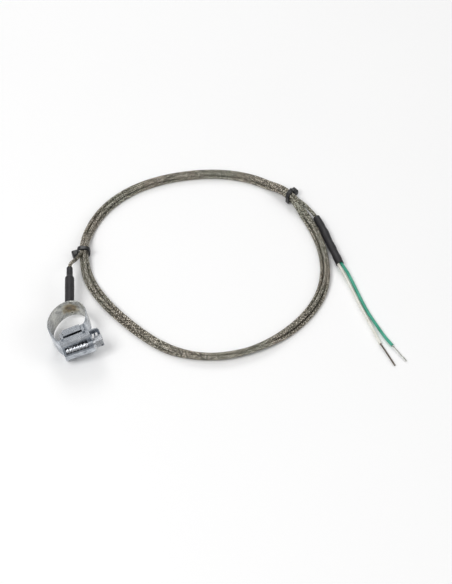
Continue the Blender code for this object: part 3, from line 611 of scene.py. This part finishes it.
def coilPlace(turn, outward, height):
    reach = coilRadius(turn) + outward
    place = coil["centre"] + Vector((math.cos(turn), math.sin(turn), 0)) * reach
    return routePoint(place.x, place.y, tiePull(turn) * coil["tieLift"] + height)


def woundRoute(perTurn=150):
    # clockwise from the left tie, each strand drifting a little in its slot
    count = round(coil["turns"] * perTurn)
    route = []
    for i in range(5, count + 1):
        wound = coil["turns"] * i / count
        turn = math.radians(coil["ties"][0]) - wound * math.tau
        pull = tiePull(turn)
        outward, up = slotAt(wound, pull)
        drift = (1 - pull) * sum(size * math.sin(wound * waves + phase)
                                 for size, waves, phase in lead["drift"])
        route.append(coilPlace(turn, outward + drift, up + lead["radius"]))
    return route


def leadRoute():
    ahead = []
    for before, outward, height in lead["approach"]:
        turn = math.radians(coil["ties"][0]) + before / coil["radius"]
        ahead.append(coilPlace(turn, outward, height))
    arrive = smoothRoute([routePoint(*p) for p in lead["start"]] + ahead + woundRoute()[:3], 1.0 * mm)
    wound = woundRoute()[3:]
    leave = smoothRoute([wound[-1]] + [routePoint(*p) for p in lead["ends"]], 1.0 * mm)
    return evenly(arrive + wound + leave[1:], lead["spacing"] * mm)


leadLine = leadRoute()
leadPiece = grow("braided_lead", leadLine, "cord", Radius=lead["radius"] * mm, Sides=lead["sides"],
                 Finish=finishes["braid"])
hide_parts("lead_in", "cable_coil", "lead_out")
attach(leadPiece, "clip_and_lead")
print("braided lead:", round(routeLength(leadLine), 3), "m,", len(leadPiece.data.polygons), "faces")

wires = {
    "green": {
        "node": "positive_lead", "tipNode": "positive_conductor", "tipFinish": "brightWire",
        "route": ((163.9, 16.5, 2.45), (163.65, 6.0, 2.45), (163.35, -4.0, 2.4), (164.2, -11.5, 1.7),
                  (164.25, -22.1, 1.05), (163.9, -33.9, 0.95), (164.0, -43.4, 0.95), (164.9, -53.1, 0.95),
                  (165.95, -61.9, 0.95), (167.4, -68.9, 0.95)),
        "tip": ((167.35, -68.6, 0.95), (169.0, -75.6, 0.7), (170.57, -81.4, 0.5)),
    },
    "white": {
        "node": "negative_lead", "tipNode": "negative_conductor", "tipFinish": "dullWire",
        "route": ((162.0, 16.5, 2.45), (161.75, 6.0, 2.45), (161.4, -4.0, 2.4), (161.8, -12.0, 1.7),
                  (161.95, -23.5, 1.05), (161.65, -34.5, 0.95), (161.7, -44.2, 0.95), (161.7, -51.0, 0.95),
                  (161.7, -58.0, 0.95), (161.55, -65.6, 0.95)),
        "tip": ((161.55, -65.3, 0.95), (162.4, -72.6, 0.7), (163.25, -82.0, 0.5)),
    },
    "radius": 0.9, "sides": 20, "strandRadius": 0.15, "twist": 700.0,
}


def addWire(colour, s):
    line = smoothRoute([routePoint(*p) for p in s["route"]], 0.8 * mm)
    wire = grow(colour + "_wire", line, "cord", Radius=wires["radius"] * mm, Sides=wires["sides"],
                Finish=finishes[colour])
    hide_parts(s["node"])
    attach(wire, "clip_and_lead")
    tipLine = smoothRoute([routePoint(*p) for p in s["tip"]], 0.5 * mm)
    tip = grow(colour + "_wire_end", tipLine, "strands", Strand_Radius=wires["strandRadius"] * mm,
               Twist=wires["twist"], Finish=finishes[s["tipFinish"]])
    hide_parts(s["tipNode"])
    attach(tip, "clip_and_lead")
    return wire, tip, line


wirePieces = {colour: addWire(colour, wires[colour]) for colour in ("green", "white")}
print("insulated wires made")


def sweptRings(name, route, radii, sides, finish, bore):
    # a hollow sleeve: radii is a function of the share along it and the turn round it
    bm = bmesh.new()
    outer, inner = [], []
    for i, place in enumerate(route):
        along = (route[min(i + 1, len(route) - 1)] - route[max(i - 1, 0)]).normalized()
        side = along.cross(Vector((0, 0, 1))).normalized()
        up = side.cross(along)
        share = i / (len(route) - 1)
        turns = [math.tau * k / sides for k in range(sides)]
        for rims, radius in ((outer, radii), (inner, bore)):
            rims.append([bm.verts.new(place + (side * math.cos(t) + up * math.sin(t)) * radius(share, t))
                         for t in turns])
    for k in range(sides):
        n = (k + 1) % sides
        for a, b in zip(outer, outer[1:]):
            bm.faces.new((a[k], a[n], b[n], b[k]))
        for a, b in zip(inner, inner[1:]):
            bm.faces.new((a[k], b[k], b[n], a[n]))
        bm.faces.new((outer[0][k], inner[0][k], inner[0][n], outer[0][n]))
        bm.faces.new((outer[-1][n], inner[-1][n], inner[-1][k], outer[-1][k]))
    bmesh.ops.recalc_face_normals(bm, faces=bm.faces)
    mesh = bpy.data.meshes.new(name)
    bm.to_mesh(mesh)
    bm.free()
    mesh.shade_smooth()
    mesh.set_sharp_from_angle(angle=math.radians(50))
    return link(name, mesh, finish)


tailSleeve = {
    "route": ((163.06, 34.4, 2.45), (163.35, 24.8, 2.45), (162.95, 15.2, 2.45), (162.7, 5.2, 2.45),
              (162.35, -4.2, 2.45)),
    "radius": 2.25, "wall": 0.35, "sides": 40,
    # the sleeve's bumps over the ferrule and the two wires, as share along it, height and width
    "bumps": ((0.02, -0.10, 0.05), (0.24, -0.14, 0.05), (0.36, 0.18, 0.07), (0.52, -0.12, 0.05),
              (0.64, 0.12, 0.05), (0.76, -0.10, 0.05), (0.88, 0.14, 0.05)),
}


def addTailSleeve(s):
    line = smoothRoute([routePoint(*p) for p in s["route"]], 0.6 * mm)

    def outer(share, turn):
        bump = sum(high * math.exp(-((share - at) / wide) ** 2) for at, high, wide in s["bumps"])
        oval = 0.07 * share * math.cos(2 * turn)
        wrinkle = 0.02 * math.sin(5 * turn + 9 * share) * math.sin(share * 40)
        return (s["radius"] + bump + oval + wrinkle) * mm

    def bore(share, turn):
        return (s["radius"] - s["wall"] - 0.05) * mm
    sleeve = sweptRings("tail_shrink_sleeve", line, outer, s["sides"], "sleeve", bore)
    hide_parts("tail_sleeve")
    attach(sleeve, "clip_and_lead")
    return sleeve


tailPiece = addTailSleeve(tailSleeve)

sensor = {
    "angle": 73.0, "lean": 9.0, "mouth": Vector((10.794, 30.364, 11.376)),
    "sides": 40, "length": 26.6, "neckLength": 6.6, "radius": 2.68, "neckRadius": 1.8,
    "bore": 2.28, "neckBore": 1.27, "steps": 60,
}


def addClampSleeve(s):
    # a straight sleeve over the tube, drawn down to the lead at its far end
    a, lean = math.radians(s["angle"]), math.radians(s["lean"])
    direction = Vector((math.cos(a) * math.cos(lean), math.sin(a), math.cos(a) * math.sin(lean)))
    stop = s["mouth"] * mm
    start = stop - direction * s["length"] * mm
    line = [start.lerp(stop, i / s["steps"]) for i in range(s["steps"] + 1)]
    neckShare = 1 - s["neckLength"] / s["length"]

    def outer(share, turn):
        fall = min(1.0, max(0.0, (share - neckShare) / 0.07 + 0.5))
        fall = fall * fall * (3 - 2 * fall)
        wrinkle = 0.025 * math.sin(4 * turn + 1.0) * math.sin(share * 31) + 0.02 * math.sin(share * 17)
        lip = 0.05 * math.exp(-(share / 0.02) ** 2)
        return (s["radius"] + (s["neckRadius"] - s["radius"]) * fall + wrinkle + lip) * mm

    def bore(share, turn):
        fall = min(1.0, max(0.0, (share - neckShare) / 0.05 + 0.5))
        return (s["bore"] + (s["neckBore"] - s["bore"]) * fall) * mm
    sleeve = sweptRings("sensor_shrink_sleeve", line, outer, s["sides"], "sleeve", bore)
    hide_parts("clamp_sleeve")
    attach(sleeve, "clip_and_lead")
    return sleeve


addClampSleeve(sensor)
print("sleeves made")

ties = {
    "width": 2.5, "thick": 1.0, "gap": 0.3, "half": 2.65, "high": 5.4, "sides": 72, "squareness": 3.2,
    "head": Vector((3.7, 4.4, 3.6)), "headRise": (0.7, 1.6), "swing": (24.0, -4.0), "slant": (0.0, 20.0),
}


def beltPoint(turn, across, grow):
    # a point of the strap's rounded outline about the bundle, in the coil's own section
    half, high = ties["half"] + grow, ties["high"] / 2 + grow
    power = 2 / ties["squareness"]
    out = math.copysign(abs(math.cos(across)) ** power, math.cos(across)) * half
    up = math.copysign(abs(math.sin(across)) ** power, math.sin(across)) * high
    return coilPlace(turn, out, ties["high"] / 2 + up)


def addTie(name, angle, swing, slant, rise):
    turn = math.radians(angle)
    ahead = Vector((-math.sin(turn), math.cos(turn), 0)) * mm
    # the belt's cross-section: (share of the half width, growth past the bundle)
    edge, low, high = 0.72, ties["gap"], ties["gap"] + ties["thick"]
    section = ((-1.0, low), (1.0, low), (1.0, high - 0.3), (edge, high),
               (-edge, high), (-1.0, high - 0.3))
    bm = bmesh.new()
    rims = []
    for i in range(ties["sides"]):
        across = math.tau * i / ties["sides"]
        lean = math.cos(across) * (ties["half"] + high) * math.tan(math.radians(slant))
        rims.append([bm.verts.new(beltPoint(turn, across, grow)
                                  + ahead * (share * ties["width"] / 2 + lean))
                     for share, grow in section])
    for a, b in zip(rims, rims[1:] + rims[:1]):
        for k in range(len(section)):
            n = (k + 1) % len(section)
            bm.faces.new((a[k], a[n], b[n], b[k]))
    bearing = turn + math.radians(swing)
    out = Vector((math.cos(bearing), math.sin(bearing), 0))
    side = Vector((-out.y, out.x, 0))
    face = ties["half"] + ties["gap"] + 0.4
    middle = coilPlace(turn, face, rise) + ahead * (face * math.tan(math.radians(slant)))
    middle += out * ties["head"].x / 2 * mm
    head = bmesh.ops.create_cube(bm, size=1.0)["verts"]
    for vert in head:
        x, y, z = (vert.co[i] * ties["head"][i] * mm for i in range(3))
        vert.co = middle + out * x + side * y + Vector((0, 0, z))
    bm.normal_update()
    rounded = [e for e in bm.edges if e.verts[0] in head and e.verts[1] in head]
    bmesh.ops.bevel(bm, geom=rounded, offset=0.9 * mm, segments=4, affect="EDGES", profile=0.6)
    bmesh.ops.recalc_face_normals(bm, faces=bm.faces)
    mesh = bpy.data.meshes.new(name + "Shape")
    bm.to_mesh(mesh)
    bm.free()
    mesh.shade_smooth()
    mesh.set_sharp_from_angle(angle=math.radians(40))
    tie = link(name.replace("cable_", "nylon_"), mesh, "nylon")
    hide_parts(name)
    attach(tie, "clip_and_lead")
    return tie


tiePieces = [addTie(name, *place) for name, *place in
             zip(("cable_tie_left", "cable_tie_right"), coil["ties"],
                 ties["swing"], ties["slant"], ties["headRise"])]
print("ties made")

screw = {
    "centre": Vector((-1.1121, -25.6639, 9.4904)), "axis": Vector((0.9858461, -0.0610485, 0.1561427)),
    "lean": 9.0, "tilt": 3.5, "sides": 96,
    "threadRadius": 3.6, "threadDepth": 0.9, "pitch": 2.0, "crest": 0.22, "flank": 0.2,
    "noseStart": -8.1, "threadStart": -6.6, "threadEnd": 5.9, "neckEnd": 9.5,
    "headStart": 10.3, "headEnd": 14.7, "nose": 1.3, "neck": 1.8, "collar": 2.5,
    "flats": 6.2, "slotWidth": 1.1, "slotDepth": 1.7,
}


def threadReach(place, turn):
    phase = (place / screw["pitch"] - turn / math.tau + 0.5) % 1.0 - 0.5
    fall = min(1.0, max(0.0, (abs(phase) - screw["crest"] / 2) / screw["flank"]))
    return screw["threadRadius"] - screw["threadDepth"] * fall * fall * (3 - 2 * fall)


def screwStations():
    # (distance along the screw, radius as a function of the turn round it)
    s = screw
    root = s["threadRadius"] - s["threadDepth"]

    def flatsReach(turn):
        return s["flats"] / 2 / math.cos(turn % (math.pi / 3) - math.pi / 6)
    stations = [(s["noseStart"], lambda turn: s["nose"] - 0.2),
                (s["noseStart"] + 0.2, lambda turn: s["nose"]),
                (s["threadStart"], lambda turn: s["nose"]), (s["threadStart"], lambda turn: root)]
    steps = round((s["threadEnd"] - s["threadStart"]) / s["pitch"] * 24)
    for i in range(1, steps):
        place = s["threadStart"] + (s["threadEnd"] - s["threadStart"]) * i / steps
        stations.append((place, lambda turn, place=place: threadReach(place, turn)))
    stations += [(s["threadEnd"], lambda turn: root), (s["threadEnd"], lambda turn: s["neck"]),
                 (s["neckEnd"], lambda turn: s["neck"]), (s["neckEnd"], lambda turn: s["collar"] - 0.15),
                 (s["neckEnd"] + 0.15, lambda turn: s["collar"]), (s["headStart"], lambda turn: s["collar"]),
                 (s["headStart"], lambda turn: flatsReach(turn) - 0.12),
                 (s["headStart"] + 0.12, flatsReach), (s["headEnd"] - 0.35, flatsReach),
                 (s["headEnd"], lambda turn: s["flats"] / 2 - 0.35)]
    return stations


def addScrew(s):
    lean, tilt = math.radians(s["lean"]), math.radians(s["tilt"])
    across = Vector((math.sin(tilt) * math.cos(lean), math.cos(tilt), math.sin(tilt) * math.sin(lean)))
    up = s["axis"].cross(across)

    def spot(place, y, z):
        return (s["centre"] + s["axis"] * place + across * y + up * z) * mm
    bm = bmesh.new()
    rims = []
    for place, reach in screwStations():
        turns = [math.tau * k / s["sides"] for k in range(s["sides"])]
        rims.append([bm.verts.new(spot(place, reach(t) * math.cos(t), reach(t) * math.sin(t)))
                     for t in turns])
    for a, b in zip(rims, rims[1:]):
        for k in range(s["sides"]):
            n = (k + 1) % s["sides"]
            bm.faces.new((a[k], a[n], b[n], b[k]))
    bm.faces.new(rims[0])
    bm.faces.new(rims[-1])
    bmesh.ops.recalc_face_normals(bm, faces=bm.faces)
    mesh = bpy.data.meshes.new("screwShape")
    bm.to_mesh(mesh)
    bm.free()
    cutter = bmesh.new()
    corners = bmesh.ops.create_cube(cutter, size=1.0)["verts"]
    for vert in corners:
        x, y, z = vert.co
        vert.co = spot(s["headEnd"] + x * 2 * s["slotDepth"], y * 2 * s["flats"], z * s["slotWidth"])
    bmesh.ops.recalc_face_normals(cutter, faces=cutter.faces)
    slotMesh = bpy.data.meshes.new("slotShape")
    cutter.to_mesh(slotMesh)
    cutter.free()
    blank, slot = link("screwBlank", mesh), link("screwSlot", slotMesh)
    cut = blank.modifiers.new("slot", "BOOLEAN")
    cut.object, cut.operation, cut.solver = slot, "DIFFERENCE", "EXACT"
    bpy.context.view_layer.update()
    graph = bpy.context.evaluated_depsgraph_get()
    made = bpy.data.meshes.new_from_object(blank.evaluated_get(graph), depsgraph=graph)
    bpy.data.objects.remove(blank)
    bpy.data.objects.remove(slot)
    made.shade_smooth()
    made.set_sharp_from_angle(angle=math.radians(32))
    piece = link("turned_worm_screw", made, "screw")
    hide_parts("worm_screw")
    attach(piece, "screw")


addScrew(screw)
print("screw made")

nodeFinishes = {
    "band_loop": "strip", "band_free_end": "zinc", "saddle_plate": "zinc", "screw_housing": "zinc",
    "braze_pad": "braze", "sensor_tube": "stainless", "braid_ferrule": "stainless",
    "hot_junction": "alloy", "positive_element": "alloy", "negative_element": "alloy",
    "cement_fill": "cement", "lead_bared_end": "glass",
}
for name, finish in nodeFinishes.items():
    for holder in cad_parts[name].material_slots:
        holder.material = finishes[finish]
print("frame parts finished")

studio = {
    "floorSize": 6.0, "floorDrop": 0.0002, "floorTones": ((1.0, 1.0, 1.0), (0.99, 0.99, 0.99)),
    "worldStrength": 0.52,
    "skyTones": ((0.0, 0.9), (0.08, 0.25), (0.30, 0.55), (0.55, 1.0)),  # height, brightness
    "target": Vector((0.06, 0.0, 0.0)),
    # name, place, size, power
    "lamps": (("keyLight", (-0.55, -0.25, 0.95), 0.5, 5.5),
              ("fillLight", (0.9, -0.5, 0.7), 0.6, 2.0),
              ("backLight", (0.2, 1.0, 0.8), 0.5, 3.5)),
}


def addStudio(s):
    floorMesh = bpy.data.meshes.new("studio_floor")
    h = s["floorSize"] / 2
    floorMesh.from_pydata([(-h, -h, 0), (h, -h, 0), (h, h, 0), (-h, h, 0)], [], [(0, 1, 2, 3)])
    floor = link("studio_floor", floorMesh)
    floor.location.z = -s["floorDrop"]
    paper = NodeSheet("paleFloor")
    tone = paper.ramp(paper.noise(6.0, 2.0), tuple(zip((0.3, 0.7), s["floorTones"])))
    floorMesh.materials.append(paper.finish(tone, 0.9, 0.0))
    world = bpy.data.worlds.new("studioWorld")
    world.use_nodes = True
    tree = world.node_tree
    back = tree.nodes["Background"]
    back.inputs["Strength"].default_value = s["worldStrength"]
    place = tree.nodes.new("ShaderNodeTexCoord")
    split = tree.nodes.new("ShaderNodeSeparateXYZ")
    shade = tree.nodes.new("ShaderNodeValToRGB")
    stops = s["skyTones"]
    while len(shade.color_ramp.elements) < len(stops):
        shade.color_ramp.elements.new(0.5)
    for point, (at, tone) in zip(shade.color_ramp.elements, stops):
        point.position, point.color = at, (tone, tone, tone, 1.0)
    tree.links.new(place.outputs["Generated"], split.inputs[0])
    tree.links.new(split.outputs["Z"], shade.inputs["Fac"])
    tree.links.new(shade.outputs["Color"], back.inputs["Color"])
    bpy.context.scene.world = world
    for label, place, size, power in s["lamps"]:
        data = bpy.data.lights.new(label, "AREA")
        data.size, data.energy = size, power
        lamp = bpy.data.objects.new(label, data)
        lamp.location = place
        lamp.rotation_euler = (Vector(place) - s["target"]).to_track_quat("Z", "Y").to_euler()
        bpy.context.collection.objects.link(lamp)
    bpy.context.scene.view_settings.view_transform = "Standard"


addStudio(studio)
print("studio lit")
